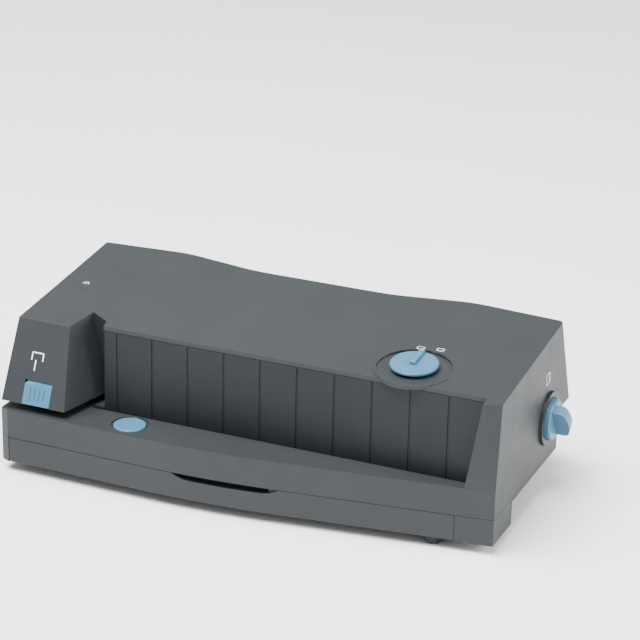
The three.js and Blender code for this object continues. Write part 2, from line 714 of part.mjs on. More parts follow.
function upperHousing() {
  const [outer, boss] = upperOutside();
  const inner = cut(
    join(wedge(WALL), headVolume(WALL), blockVolume(WALL)),
    staplingThroat(WALL),
    cornerBay(WALL),
  );
  const recess = inRecess(rod("z", DIAL_RECESS_RADIUS, [0, 12], [0, 0], 48));
  const shaftHole = onTop(rod("z", DIAL_SHAFT_RADIUS + GAP, [-20, 10], [0, 0]), DIAL_X, DIAL_Y);
  const places = Object.values(SCREW_PLACES);
  const posts = places.map((place) => rod("z", POST_RADIUS, [POST_Z, SKY], place, 12).intersect(outer));
  const pilots = places.map((place) => rod("z", SCREW_RADIUS + 0.2, [0, SCREW_TIP_Z + 5], place, 12));
  const lampHole = ([x, y]) => onTop(rod("z", LAMP_RADIUS + GAP, [-10, 10], [0, 0], 12), x, y);
  const dishRadius = BUTTON_RADIUS + BUTTON_DISH_MARGIN;
  const dish = rod("z", dishRadius, [DECK_Z - BUTTON_DISH, DECK_Z + 5], [BUTTON_X, BUTTON_Y], 40);
  const bore = rod("z", BUTTON_RADIUS + SLIDE_GAP, [0, DECK_Z + 5], [BUTTON_X, BUTTON_Y], 40);
  const boardPostZ = [BOARD_Z + BOARD_THICKNESS + GAP, DECK_Z - 1];
  const boardPosts = BOARD_POSTS.map((place) => rod("z", 2.2, boardPostZ, place, 10));
  const [anvilX, anvilY, anvilZ] = ANVIL_SIZE;
  const anvilSeat = box(
    around(STAPLE_X, anvilX + 2 * GAP),
    around(ANVIL_Y, anvilY + 2 * GAP),
    [DECK_Z - anvilZ - GAP, DECK_Z + 1],
  );
  const shell = cut(join(outer, deckOutside()), inner, deckHollow());
  return cut(
    join(shell, boss, ...posts, ...boardPosts),
    recess,
    shaftHole,
    ...pilots,
    ...LAMP_PLACES.map(lampHole),
    dish,
    bore,
    anvilSeat,
    magazineWay(),
    rod("x", BEZEL_RADIUS + GAP, [RIGHT - 10, RIGHT + 10], KNOB_AXIS, 40),
    rearPanelHole(INLET_X, INLET_SIZE),
    rearPanelHole(SWITCH_X, SWITCH_SIZE),
  );
}

function rearPanelHole(x, [width, height]) {
  const y = [REAR_LOWER_Y - 10, REAR_LOWER_Y + 1];
  return box(around(x, width + 2 * GAP), y, around(REAR_PANEL_Z, height + 2 * GAP));
}

function basePan() {
  const top = SEAM_Z - GAP / 2;
  const plinth = prism("z", planOutline(0, PLINTH_BACK_Y), [FOOT_HEIGHT, top]);
  const panX = [LEFT + PAN_INSET, RIGHT - PAN_INSET];
  const pan = box(panX, [PLINTH_BACK_Y - 10, PAN_BACK_Y], [FOOT_HEIGHT, top]);
  const flange = box([LEFT, RIGHT], [PLINTH_BACK_Y - 1, REAR_LOWER_Y], [UNDERSIDE_Z, top]);
  const plinthHollow = prism("z", planOutline(WALL, PLINTH_BACK_Y - WALL), [FOOT_HEIGHT + WALL, top + 5]);
  const panHollow = box(
    [panX[0] + WALL, panX[1] - WALL],
    [PLINTH_BACK_Y - 15, PAN_BACK_Y - WALL],
    [FOOT_HEIGHT + WALL, top + 5],
  );
  const fasciaX = [TRAY_X[0] - GAP, TRAY_X[1] + GAP];
  const fasciaBay = prism(
    "z",
    [...frontEdge(fasciaX, FASCIA_THICKNESS + GAP), [fasciaX[1], -80], [fasciaX[0], -80]],
    [0, top + 5],
  );
  const places = Object.values(SCREW_PLACES);
  const bosses = places.map((place) => rod("z", 5, [FOOT_HEIGHT + 1, POST_Z - GAP], place, 12));
  const holes = places.map((place) => rod("z", SCREW_RADIUS + GAP, [0, 40], place, 12));
  const headZ = [0, FOOT_HEIGHT + SCREW_HEAD_DEPTH + 0.4];
  const counterbores = places.map((place) => rod("z", SCREW_HEAD_RADIUS + GAP, headZ, place, 14));
  const shell = cut(join(plinth, pan, flange), plinthHollow, panHollow, fasciaBay);
  return cut(join(shell, ...bosses), ...holes, ...counterbores);
}

function chipTray() {
  const fasciaZ = [FOOT_HEIGHT + 0.6, SEAM_Z - GAP];
  const fascia = prism(
    "z",
    [...frontEdge(TRAY_X, 0), ...frontEdge(TRAY_X, FASCIA_THICKNESS).reverse()],
    fasciaZ,
  );
  const tubZ = [FOOT_HEIGHT + WALL + SLIDE_GAP, UNDERSIDE_Z];
  const tubBack = [
    [TUB_X[1], TRAY_BACK_Y],
    [TUB_X[0], TRAY_BACK_Y],
  ];
  const tub = prism("z", [...frontEdge(TUB_X, 1), ...tubBack], tubZ);
  const hollowX = [TUB_X[0] + TRAY_WALL, TUB_X[1] - TRAY_WALL];
  const hollow = prism(
    "z",
    [
      ...frontEdge(hollowX, FASCIA_THICKNESS),
      [hollowX[1], TRAY_BACK_Y - TRAY_WALL],
      [hollowX[0], TRAY_BACK_Y - TRAY_WALL],
    ],
    [tubZ[0] + TRAY_WALL, tubZ[1] + 5],
  );
  const scoopX = SCOOP_FROM_LEFT.map((x) => LEFT + x);
  const middle = (scoopX[0] + scoopX[1]) / 2;
  const top = fasciaZ[1];
  const scoop = prism(
    "y",
    [
      [scoopX[0], top + 1],
      [scoopX[0], top],
      [scoopX[0] + 8, top - SCOOP_DEPTH, 8],
      [middle, top - SCOOP_DEPTH - 0.5],
      [scoopX[1] - 8, top - SCOOP_DEPTH, 8],
      [scoopX[1], top],
      [scoopX[1], top + 1],
    ],
    [-80, frontY(middle) + FASCIA_THICKNESS + 4],
  );
  return cut(join(fascia, tub), hollow, scoop);
}

function throatBackPanel() {
  const z = [PUNCH_BLOCK_Z[1] + GAP, topZ(0) - LIP_HEIGHT - GAP];
  const panel = prism("y", throatOutline(z, GAP), [PANEL_Y, PANEL_Y + PANEL_THICKNESS]);
  const grooves = [];
  const last = SLOT_RIGHT - PANEL_GROOVE_FROM_RIGHT;
  for (let x = last; x > SLOT_LEFT + BAY_WIDTH + PANEL_GROOVE_WIDTH; x -= PANEL_GROOVE_PITCH) {
    const y = [PANEL_Y - 1, PANEL_Y + PANEL_GROOVE_DEPTH];
    grooves.push(box(around(x, PANEL_GROOVE_WIDTH), y, [0, z[1] - 1]));
  }
  return cut(panel, ...grooves);
}

// ---- punch ----

function withPinHoles(block) {
  const span = [-60, 60];
  const hole = (x) => rod("y", PIN_RADIUS + RUNNING, span, [x, PIN_Z], 16);
  return cut(block, ...Object.values(PIN_X).map(hole));
}

function diePlate() {
  const x = [STOP_X[0] + 2, STOP_X[1]];
  return withPinHoles(box(x, [-SLOT_HALF - DIE_THICKNESS, -SLOT_HALF], PUNCH_BLOCK_Z));
}

const guideBlock = () => withPinHoles(box(BETWEEN_CHASSIS, GUIDE_Y, PUNCH_BLOCK_Z));

function punchPin(x) {
  return rod("y", PIN_RADIUS, [SLOT_HALF + 0.5, RAM_Y[0] - GAP], [x, PIN_Z], 16);
}

function punchRam() {
  const bar = box([BETWEEN_CHASSIS[0] + SLIDE_GAP, BETWEEN_CHASSIS[1] - SLIDE_GAP], RAM_Y, RAM_Z);
  const rodHole = (x) => rod("y", GUIDE_ROD_RADIUS + RUNNING, [0, 80], [x, PIN_Z], 16);
  return cut(bar, ...GUIDE_ROD_X.map(rodHole));
}

function guideRod(x) {
  return rod("y", GUIDE_ROD_RADIUS, [GUIDE_Y[1] + GAP, RAM_Y[1] + 0.5], [x, PIN_Z], 16);
}

function chassisPlate(x) {
  const bottom = FOOT_HEIGHT + WALL + 22;
  const back = MOTOR_AXIS[0] + MOTOR_NOSE_RADIUS + 4;
  const outline = [
    [GUIDE_Y[0], PUNCH_BLOCK_Z[0]],
    [40, bottom],
    [CAM_AXIS[0] + 10, bottom],
    [MOTOR_AXIS[0] - 12, MOTOR_AXIS[1] - 12],
    [back, MOTOR_AXIS[1] - 12, 5],
    [back, CAM_AXIS[1] + 10, 6],
    [CAM_AXIS[0] + 14, CAM_AXIS[1] + 30, 6],
    [CAM_AXIS[0] - 16, CAM_AXIS[1] + 30, 6],
    [30, RAM_Z[1] + 6, 4],
    [GUIDE_Y[1] + 4, PUNCH_BLOCK_Z[1]],
    [GUIDE_Y[0], PUNCH_BLOCK_Z[1]],
  ];
  const through = [x[0] - 5, x[1] + 5];
  return cut(
    prism("x", outline, x),
    rod("x", CAMSHAFT_RADIUS + BUSH_WALL + GAP, through, CAM_AXIS),
    rod("x", MOTOR_NOSE_RADIUS + GAP, through, MOTOR_AXIS),
  );
}

function camshaftBush(x) {
  const outer = rod("x", CAMSHAFT_RADIUS + BUSH_WALL, [x[0] - 1, x[1] + 1], CAM_AXIS);
  return cut(outer, rod("x", CAMSHAFT_RADIUS + RUNNING, [x[0] - 5, x[1] + 5], CAM_AXIS));
}

function camshaft() {
  return rod("x", CAMSHAFT_RADIUS, [CHASSIS_LEFT_X[0] - 4, GEAR_X[1] + 1], CAM_AXIS);
}

function onCamshaft(outline, x) {
  const body = prism("x", outline, x);
  return cut(body, rod("x", CAMSHAFT_RADIUS + GAP, [x[0] - 5, x[1] + 5], CAM_AXIS));
}

function punchCam(x) {
  return onCamshaft(camOutline(CAM_AXIS, CAM_RADIUS, PUNCH_STROKE, Math.PI), around(x, CAM_WIDTH));
}

function camGear() {
  return onCamshaft(gearOutline(CAM_AXIS, GEAR_MODULE, GEAR_TEETH, MESH_ANGLE), GEAR_X);
}

function motorPinion() {
  const toothAngle = MESH_ANGLE + Math.PI + Math.PI / PINION_TEETH;
  const x = [GEAR_X[0] - 1, GEAR_X[1] + 1];
  const body = prism("x", gearOutline(MOTOR_AXIS, GEAR_MODULE, PINION_TEETH, toothAngle), x);
  return cut(body, rod("x", MOTOR_SHAFT_RADIUS + RUNNING, [x[0] - 1, x[1] + 1], MOTOR_AXIS, 12));
}

function punchMotor() {
  const x = [BETWEEN_CHASSIS[1] - MOTOR_LENGTH, BETWEEN_CHASSIS[1]];
  const can = rod("x", MOTOR_RADIUS, x, MOTOR_AXIS, 28);
  const nose = rod("x", MOTOR_NOSE_RADIUS, [x[1] - 1, CHASSIS_RIGHT_X[1] + 1], MOTOR_AXIS, 16);
  const shaft = rod("x", MOTOR_SHAFT_RADIUS, [x[1], GEAR_X[1] + 2], MOTOR_AXIS, 12);
  const footX = [x[0] + 10, x[1] - 10];
  const footZ = [FOOT_HEIGHT + WALL + GAP, MOTOR_AXIS[1]];
  return join(can, nose, shaft, box(footX, around(MOTOR_AXIS[0], 30), footZ));
}

// ---- hole-pattern selector ----

function selectorDial() {
  const bottom = 0.4; // clear of the recess floor at its front edge
  const rim = DIAL_PROUD - DIAL_RIM;
  const profile = [
    [0, bottom],
    [DIAL_NECK_RADIUS, bottom],
    [DIAL_NECK_RADIUS, rim - 0.6],
    [DIAL_RADIUS, rim],
    [DIAL_RADIUS, DIAL_PROUD - 0.8],
    [DIAL_RADIUS - 0.8, DIAL_PROUD],
    [0, DIAL_PROUD],
  ];
  const fin = prism(
    "x",
    [
      [-DIAL_FIN_FRONT, DIAL_PROUD - 1],
      [DIAL_RADIUS - 0.8, DIAL_PROUD - 1],
      [DIAL_RADIUS - 0.8, DIAL_FIN_PROUD - 1, 2],
      [-DIAL_FIN_FRONT, DIAL_FIN_PROUD, 2],
    ],
    around(0, DIAL_FIN_WIDTH),
  );
  const shaft = rod("z", DIAL_SHAFT_RADIUS, [-DIAL_DROP + 12, bottom + 0.5], [0, 0], 16);
  return onTop(join(solid(turned(profile, 48)), fin, shaft), DIAL_X, DIAL_Y);
}

// The crank hangs from the dial's shaft, and its pin works in the selector bar's slot.
function selectorCrank() {
  const z = [-DIAL_DROP + 2.5, -DIAL_DROP + 6.5];
  const half = ((DIAL_SWING / 2) * Math.PI) / 180;
  const pinPlace = [CRANK_ARM * Math.sin(half), -CRANK_ARM * Math.cos(half)];
  const hub = rod("z", DIAL_SHAFT_RADIUS + 2.5, [z[0], -DIAL_DROP + 12 - GAP], [0, 0], 16);
  const tip = rod("z", CRANK_PIN_RADIUS + 2, z, pinPlace, 16);
  const arm = prism(
    "z",
    [
      [-3.5, 0],
      [3.5, 0],
      [pinPlace[0] + 3.5, pinPlace[1]],
      [pinPlace[0] - 3.5, pinPlace[1]],
    ],
    z,
  );
  const pin = rod("z", CRANK_PIN_RADIUS, [-DIAL_DROP - 2.6, z[0] + 1], pinPlace, 14);
  return onTop(join(hub, tip, arm, pin), DIAL_X, DIAL_Y);
}

function selectorBar() {
  const halfTravel = CRANK_ARM * Math.sin(((DIAL_SWING / 2) * Math.PI) / 180);
  const pinX = DIAL_X + halfTravel;
  const pinY = CRANK_Y - CRANK_ARM;
  const bar = box([BETWEEN_CHASSIS[0] + 14, pinX + 10], [RAM_Y[0] + 1, RAM_Y[1] - 3], SELECTOR_Z);
  const tab = box(around(pinX, 14), [pinY - 5.8, RAM_Y[0] + 2], SELECTOR_Z);
  const through = [0, SELECTOR_Z[1] + 5];
  const slotY = [pinY - 3.5, pinY + PUNCH_STROKE + 4];
  const slot = box(around(pinX, 2 * (CRANK_PIN_RADIUS + SLIDE_GAP)), slotY, through);
  const windowY = around(RAM_Y[0] + 5, 3);
  const windows = Object.values(PIN_X).map((px) => box(around(px, 5), windowY, through));
  return cut(join(bar, tab), slot, ...windows);
}

// ---- margin stop ----

function rackTeeth(x) {
  const pitch = Math.PI * RACK_MODULE;
  const teeth = [];
  for (let i = -3; i < 3; i += 1) {
    const z = KNOB_Z + (i + 0.5) * pitch;
    teeth.push(
      prism(
        "x",
        [
          [RACK_PITCH_Y - 1.6, z - 0.27 * pitch],
          [RACK_PITCH_Y + 0.9 * RACK_MODULE, z - 0.11 * pitch],
          [RACK_PITCH_Y + 0.9 * RACK_MODULE, z + 0.11 * pitch],
          [RACK_PITCH_Y - 1.6, z + 0.27 * pitch],
        ],
        x,
      ),
    );
  }
  return teeth;
}

function marginStop() {
  const z = [STOP_Z - STOP_THICKNESS, STOP_Z];
  const bar = box(STOP_X, [-SLOT_HALF + 0.4, SLOT_HALF - 0.4], z);
  const back = RACK_PITCH_Y - 1.3;
  const pieces = [];
  for (const middle of ARM_X) {
    const x = around(middle, ARM_THICKNESS);
    pieces.push(box(x, [-1, back], z));
    pieces.push(box(x, [back - RACK_DEPTH, back], [z[0], KNOB_Z + RACK_ABOVE_AXIS + MARGIN_TRAVEL]));
    pieces.push(...rackTeeth(x));
  }
  return join(bar, ...pieces);
}

function marginShaft() {
  const shaft = rod("x", MARGIN_SHAFT_RADIUS, [STOP_X[0] - 4, SHAFT_END_X], KNOB_AXIS);
  const outline = gearOutline(KNOB_AXIS, RACK_MODULE, RACK_PINION_TEETH, 0);
  const pinions = ARM_X.map((x) => prism("x", outline, around(x, ARM_THICKNESS + 2)));
  return join(shaft, ...pinions);
}

function sideKnob() {
  const inner = RIGHT - BEZEL_DEPTH + SLIDE_GAP + 0.5;
  const face = RIGHT + KNOB_PROUD;
  const profile = [
    [0, inner],
    [KNOB_RADIUS, inner],
    [KNOB_RADIUS, face - 1.5],
    [KNOB_RADIUS - 1.5, face],
    [0, face],
  ];
  const disc = solid(turned(profile, 40).rotateY(Math.PI / 2));
  const reach = KNOB_RADIUS - 1;
  const end = RIGHT + GRIP_PROUD;
  const wing = prism(
    "y",
    [
      [face - 1, -reach],
      [end - 5, -reach, 4],
      [end, 0, 12],
      [end - 5, reach, 4],
      [face - 1, reach],
    ],
    around(0, GRIP_WIDTH),
  );
  const grip = wing.rotate([(GRIP_ANGLE * 180) / Math.PI - 90, 0, 0]);
  const body = join(disc, grip).translate([0, KNOB_Y, KNOB_Z]);
  const socketX = [inner - 10, SHAFT_END_X + GAP];
  return cut(body, rod("x", MARGIN_SHAFT_RADIUS + GAP, socketX, KNOB_AXIS));
}

function sideKnobBezel() {
  const back = RIGHT - BEZEL_DEPTH - WALL;
  const cup = rod("x", BEZEL_RADIUS, [back, RIGHT + BEZEL_PROUD], KNOB_AXIS, 40);
  const inside = rod("x", KNOB_RADIUS + SLIDE_GAP, [RIGHT - BEZEL_DEPTH, RIGHT + 5], KNOB_AXIS, 40);
  const hole = rod("x", MARGIN_SHAFT_RADIUS + GAP, [back - 5, RIGHT + 5], KNOB_AXIS, 20);
  return cut(cup, inside, hole);
}

// ---- punch button ----

function punchButton() {
  const top = DECK_Z + BUTTON_PROUD;
  const bottom = top - BUTTON_HEIGHT;
  const profile = [
    [0, bottom],
    [BUTTON_RADIUS, bottom],
    [BUTTON_RADIUS, top - 1.4],
    [BUTTON_RADIUS - 0.5, top - 0.5],
    [BUTTON_RADIUS - 1.6, top],
    [0, top],
  ];
  const stemZ = [SWITCH_TOP_Z + BUTTON_TRAVEL + SLIDE_GAP, bottom + 1];
  const stem = rod("z", BUTTON_STEM_RADIUS, stemZ, [0, 0], 12);
  return join(solid(turned(profile, 40)), stem).translate([BUTTON_X, BUTTON_Y, 0]);
}

function buttonSpring() {
  const z = [BOARD_Z + BOARD_THICKNESS + GAP, DECK_Z + BUTTON_PROUD - BUTTON_HEIGHT - GAP];
  return coil([BUTTON_X, BUTTON_Y], SPRING_RADIUS, SPRING_WIRE, SPRING_TURNS, z);
}

function buttonSwitch() {
  const z = [BOARD_Z + BOARD_THICKNESS + GAP, SWITCH_TOP_Z];
  const body = box(around(BUTTON_X, 12.8), around(BUTTON_Y, 5.8), [z[0], z[1] - 1]);
  return join(body, box(around(BUTTON_X, 2.5), around(BUTTON_Y, 3), z));
}

function controlBoard() {
  const y = [BUTTON_Y - 16, BUTTON_Y + 10.5];
  return box(around(BUTTON_X, 46), y, [BOARD_Z, BOARD_Z + BOARD_THICKNESS]);
}

// ---- stapling unit ----

function releaseTab() {
  const z = [HEAD_Z + GAP, HEAD_Z + TAB_HEIGHT];
  const outline = [
    [headFrontY(z[0]), z[0]],
    [headFrontY(z[0]) + TAB_THICKNESS, z[0]],
    [headFrontY(z[1]) + TAB_THICKNESS, z[1]],
    [headFrontY(z[1]) + 1.6, z[1]],
    [headFrontY(z[1] - 3.4), z[1] - 3.4],
  ];
  const body = prism("x", outline, around(STAPLE_X, TAB_WIDTH));
  const chamfer = hull([
    [STAPLE_X - TAB_WIDTH / 2 - 1, -60, z[1] + 1],
    [STAPLE_X - TAB_WIDTH / 2 - 1, 0, z[1] + 1],
    [STAPLE_X - TAB_WIDTH / 2 - 1, -60, z[1] - 4],
    [STAPLE_X - TAB_WIDTH / 2 - 1, 0, z[1] - 4],
    [STAPLE_X - TAB_WIDTH / 2 + 4, -60, z[1] + 1],
    [STAPLE_X - TAB_WIDTH / 2 + 4, 0, z[1] + 1],
  ]);
  const grooves = [];
  for (let i = -1.5; i <= 1.5; i += 1) {
    const x = around(STAPLE_X + i * TAB_RIB_PITCH, 1);
    const z0 = HEAD_Z + 4;
    const z1 = HEAD_Z + TAB_HEIGHT - 6;
    grooves.push(
      prism(
        "x",
        [
          [headFrontY(z0) - 1, z0],
          [headFrontY(z0) + 0.7, z0],
          [headFrontY(z1) + 0.7, z1],
          [headFrontY(z1) - 1, z1],
        ],
        x,
      ),
    );
  }
  return cut(body, chamfer, ...grooves);
}

function stapleMagazine() {
  const outer = around(STAPLE_X, MAGAZINE_WIDTH);
  const z = MAGAZINE_Z;
  const body = box(outer, MAGAZINE_Y, z);
  const channelX = around(STAPLE_X, STAPLE_WIDTH + 0.8);
  const channel = box(channelX, [MAGAZINE_Y[0] + 1, MAGAZINE_Y[1] - 2], [z[0] + 1, z[1] + 5]);
  const railX = around(STAPLE_X, STAPLE_WIDTH - 2 * STAPLE_WIRE - 1);
  const railZ = [z[0], STICK_Z[1] - STAPLE_WIRE - GAP];
  const rail = box(railX, [STICK_Y[0], MAGAZINE_Y[1] - 1], railZ);
  const noseX = around(STAPLE_X, MAGAZINE_WIDTH - 2);
  const nose = box(noseX, [MAGAZINE_Y[0], STICK_Y[0] + 1], [HEAD_Z + GAP, z[0] + 0.5]);
  const exit = box(channelX, [MAGAZINE_Y[0] + 1, STICK_Y[0] - 0.2], [0, z[0] + 2]);
  return cut(join(cut(body, channel), rail, nose), exit);
}

// Staples and the pusher straddle the magazine's rail.
function saddle(y) {
  const [x0, x1] = around(STAPLE_X, STAPLE_WIDTH);
  const [z0, z1] = STICK_Z;
  const wall = STAPLE_WIRE;
  return prism(
    "y",
    [
      [x0, z0],
      [x0 + wall, z0],
      [x0 + wall, z1 - wall],
      [x1 - wall, z1 - wall],
      [x1 - wall, z0],
      [x1, z0],
      [x1, z1],
      [x0, z1],
    ],
    y,
  );
}

const stapleStick = () => saddle([STICK_Y[0] + 0.2, STICK_Y[1]]);

const staplePusher = () => saddle(PUSHER_Y);

function pusherSpring() {
  const length = MAGAZINE_Y[1] - 2 - PUSHER_Y[1] - 2 * GAP;
  const radius = 2.2;
  const z = STICK_Z[1] + GAP + radius + SPRING_WIRE;
  const spring = coil([0, 0], radius, 0.4, 6, [0, length]);
  return spring.rotate([-90, 0, 0]).translate([STAPLE_X, PUSHER_Y[1] + GAP, z]);
}

function staplerFrame() {
  const back = MAGAZINE_Y[1] + 9;
  const top = DRIVER_PIVOT[1] + 8;
  const profile = [
    [-14, MAGAZINE_Z[0]],
    [back, MAGAZINE_Z[0]],
    [back, top],
    [STAPLER_CAM_AXIS[0] + 14, STAPLER_CAM_AXIS[1] + 6, 4],
    [STAPLER_CAM_AXIS[0] - 8, STAPLER_CAM_AXIS[1] + 6, 4],
    [-8, DRIVER_PIVOT[1]],
    [-14, DRIVER_PIVOT[1] - 8],
  ];
  const sides = around(STAPLE_X, 2 * STAPLER_FRAME_HALF).map((x) =>
    prism("x", profile, around(x, STAPLER_FRAME_THICKNESS)),
  );
  const rearY = [back - STAPLER_FRAME_THICKNESS, back];
  const rear = box(around(STAPLE_X, 2 * STAPLER_FRAME_HALF), rearY, [MAGAZINE_Z[0], top]);
  const wide = [STAPLE_X - 30, STAPLE_X + 30];
  return cut(
    join(...sides, rear),
    rod("x", DRIVER_PIN_RADIUS + GAP, wide, DRIVER_PIVOT, 16),
    rod("x", STAPLER_SHAFT_RADIUS + GAP, wide, STAPLER_CAM_AXIS, 16),
  );
}

function driverArm() {
  const [py, pz] = DRIVER_PIVOT;
  const nose = STICK_Y[0] - 4.6;
  const bar = prism(
    "x",
    [
      [nose, pz - DRIVER_ARM_HALF],
      [py, pz - DRIVER_ARM_HALF],
      [py, pz + DRIVER_ARM_HALF],
      [nose + 8, pz + DRIVER_ARM_HALF],
      [nose, pz - 1.5],
    ],
    around(STAPLE_X, DRIVER_WIDTH),
  );
  const hub = rod("x", 2 * DRIVER_PIN_RADIUS, around(STAPLE_X, DRIVER_WIDTH), DRIVER_PIVOT);
  const bladeZ = [MAGAZINE_Z[1] + 1, pz - DRIVER_ARM_HALF + 0.5];
  const blade = box(around(STAPLE_X, STAPLE_WIDTH - 0.8), [nose, nose + 0.8], bladeZ);
  const bore = rod("x", DRIVER_PIN_RADIUS + RUNNING, around(STAPLE_X, 60), DRIVER_PIVOT, 16);
  return cut(join(bar, hub, blade), bore);
}

function driverPivotPin() {
  return rod("x", DRIVER_PIN_RADIUS, around(STAPLE_X, 2 * STAPLER_FRAME_HALF + 6), DRIVER_PIVOT, 16);
}

function staplerCam() {
  const low = STAPLER_CAM_RADIUS - CAM_CLEARANCE;
  const outline = camOutline(STAPLER_CAM_AXIS, low, STAPLER_CAM_LIFT, -Math.PI / 2);
  const disc = prism("x", outline, around(STAPLE_X, CAM_WIDTH));
  const ends = [STAPLE_X - STAPLER_FRAME_HALF - 1 - GAP, STAPLE_X + STAPLER_FRAME_HALF + 3];
  const shaft = rod("x", STAPLER_SHAFT_RADIUS, ends, STAPLER_CAM_AXIS, 16);
  return join(disc, shaft);
}

function staplerMotor() {
  const x1 = STAPLE_X - STAPLER_FRAME_HALF - 1 - 2 * GAP;
  const x0 = x1 - STAPLER_MOTOR_LENGTH;
  const can = rod("x", STAPLER_MOTOR_RADIUS, [x0, x1], STAPLER_CAM_AXIS, 24);
  return join(can, rod("x", 4, [x0 - 1, x0 + 1], STAPLER_CAM_AXIS, 16));
}

function stapleAnvil() {
  const [width, depth, height] = ANVIL_SIZE;
  const plate = box(around(STAPLE_X, width), around(ANVIL_Y, depth), [DECK_Z - height, DECK_Z]);
  const clinch = (x) => box(around(x, 5), around(ANVIL_Y, 1.6), [DECK_Z - 0.6, DECK_Z + 1]);
  return cut(plate, ...around(STAPLE_X, 7.2).map(clinch));
}

// ---- supply, lamps, feet and screws ----

function powerInlet() {
  const [width, height] = INLET_SIZE;
  const face = REAR_LOWER_Y;
  const body = box(around(INLET_X, width), [face - 24, face], around(REAR_PANEL_Z, height));
  const socketY = [face - 16, face + 1];
  const socket = box(around(INLET_X, width - 4), socketY, around(REAR_PANEL_Z, height - 4));
  const bladeY = [face - 17, face - 3];
  const blade = ([dx, dz]) => box(around(INLET_X + dx, 2), bladeY, around(REAR_PANEL_Z + dz, 4));
  return join(cut(body, socket), ...INLET_BLADES.map(blade));
}

function powerSwitch() {
  const y = REAR_LOWER_Y;
  const half = SWITCH_SIZE[1] / 2 - 1;
  const outline = [
    [y - 8, REAR_PANEL_Z - half + 2],
    [y - 0.5, REAR_PANEL_Z - half],
    [y + 0.5, REAR_PANEL_Z],
    [y + 2, REAR_PANEL_Z + half],
    [y - 8, REAR_PANEL_Z + half - 2],
  ];
  return prism("x", outline, around(SWITCH_X, SWITCH_SIZE[0] - 1));
}

function transformer() {
  const x = around(LEFT + 52, 30);
  const z0 = FOOT_HEIGHT + WALL + GAP;
  const core = box(x, [84, 130], [z0 + 6, z0 + 40]);
  const winding = box([x[0] - 4, x[1] + 4], [95, 119], [z0 + 12, z0 + 34]);
  const feet = box(x, [78, 134], [z0, z0 + 7]);
  return join(core, winding, feet);
}

const lamp = ([x, y]) => onTop(rod("z", LAMP_RADIUS, [-4, 0.3], [0, 0], 12), x, y);

function foot([x, y]) {
  const profile = [
    [0, 0],
    [FOOT_RADIUS - 2, 0],
    [FOOT_RADIUS, 2.5],
    [FOOT_RADIUS, FOOT_HEIGHT - GAP],
    [0, FOOT_HEIGHT - GAP],
  ];
  return solid(turned(profile, 24)).translate([x, y, 0]);
}

function baseScrew(place) {
  const [x, y] = place;
  const seat = FOOT_HEIGHT + SCREW_HEAD_DEPTH;
  const head = rod("z", SCREW_HEAD_RADIUS, [FOOT_HEIGHT + 0.6, seat], place, 14);
  const crossZ = [0, FOOT_HEIGHT + 1.4];
  const cross = [
    box(around(x, 3.4), around(y, 0.8), crossZ),
    box(around(x, 0.8), around(y, 3.4), crossZ),
  ];
  return join(cut(head, ...cross), rod("z", SCREW_RADIUS - 0.1, [seat - 0.2, SCREW_TIP_Z], place, 12));
}

// ---- assembly ----

add("upper_housing", upperHousing(), CHARCOAL());
add("base_pan", basePan(), CHARCOAL());
add("chip_tray", chipTray(), CHARCOAL());
add("throat_back_panel", throatBackPanel(), DARK());
add("side_knob_bezel", sideKnobBezel(), BLACK());

add("die_plate", diePlate(), STEEL());
add("guide_block", guideBlock(), ZINC());
for (const [name, x] of Object.entries(PIN_X)) add(name, punchPin(x), STEEL());
add("punch_ram", punchRam(), ZINC());
add("ram_guide_rod_left", guideRod(GUIDE_ROD_X[0]), STEEL());
add("ram_guide_rod_right", guideRod(GUIDE_ROD_X[1]), STEEL());
add("chassis_left", chassisPlate(CHASSIS_LEFT_X), ZINC());
add("chassis_right", chassisPlate(CHASSIS_RIGHT_X), ZINC());
add("camshaft_bush_left", camshaftBush(CHASSIS_LEFT_X), BRONZE());
add("camshaft_bush_right", camshaftBush(CHASSIS_RIGHT_X), BRONZE());
add("camshaft", camshaft(), STEEL());
add("punch_cam_left", punchCam(PUNCH_X - CAM_OFFSET), ACETAL());
add("punch_cam_right", punchCam(PUNCH_X + CAM_OFFSET), ACETAL());
add("cam_gear", camGear(), ACETAL());
add("motor_pinion", motorPinion(), BRONZE());
add("punch_motor", punchMotor(), STEEL());

add("selector_dial", selectorDial(), BLUE());
add("selector_crank", selectorCrank(), ACETAL());
add("selector_bar", selectorBar(), ZINC());

add("side_knob", sideKnob(), BLUE());
add("margin_shaft", marginShaft(), ACETAL());
add("margin_stop", marginStop(), ZINC());

add("punch_button", punchButton(), BLUE());
add("button_spring", buttonSpring(), STEEL());
add("button_switch", buttonSwitch(), BLACK());
add("control_board", controlBoard(), BOARD());

add("release_tab", releaseTab(), BLUE());
add("staple_magazine", stapleMagazine(), STEEL());
add("staple_stick", stapleStick(), ZINC());
add("staple_pusher", staplePusher(), BLACK());
add("pusher_spring", pusherSpring(), STEEL());
add("stapler_frame", staplerFrame(), ZINC());
add("driver_arm", driverArm(), STEEL());
add("driver_pivot_pin", driverPivotPin(), STEEL());
add("stapler_cam", staplerCam(), ACETAL());
add("stapler_motor", staplerMotor(), STEEL());
add("staple_anvil", stapleAnvil(), STEEL());

add("power_inlet", powerInlet(), BLACK());
add("power_switch", powerSwitch(), BLACK());
add("transformer", transformer(), ZINC());
add("ready_lamp", lamp(LAMP_PLACES[0]), plastic(0x2d3134, 0.2));
add("fault_lamp", lamp(LAMP_PLACES[1]), plastic(0x2d3134, 0.2));
for (const [name, place] of Object.entries(FOOT_PLACES)) add(name, foot(place), RUBBER());
for (const [name, place] of Object.entries(SCREW_PLACES)) add(name, baseScrew(place), STEEL());

// The part's origin is the middle of its footprint, on the table.
const bounds = new THREE.Box3().setFromObject(group);
const middle = bounds.getCenter(new THREE.Vector3());
group.position.set(-middle.x, -middle.y, -bounds.min.z);

export default group;
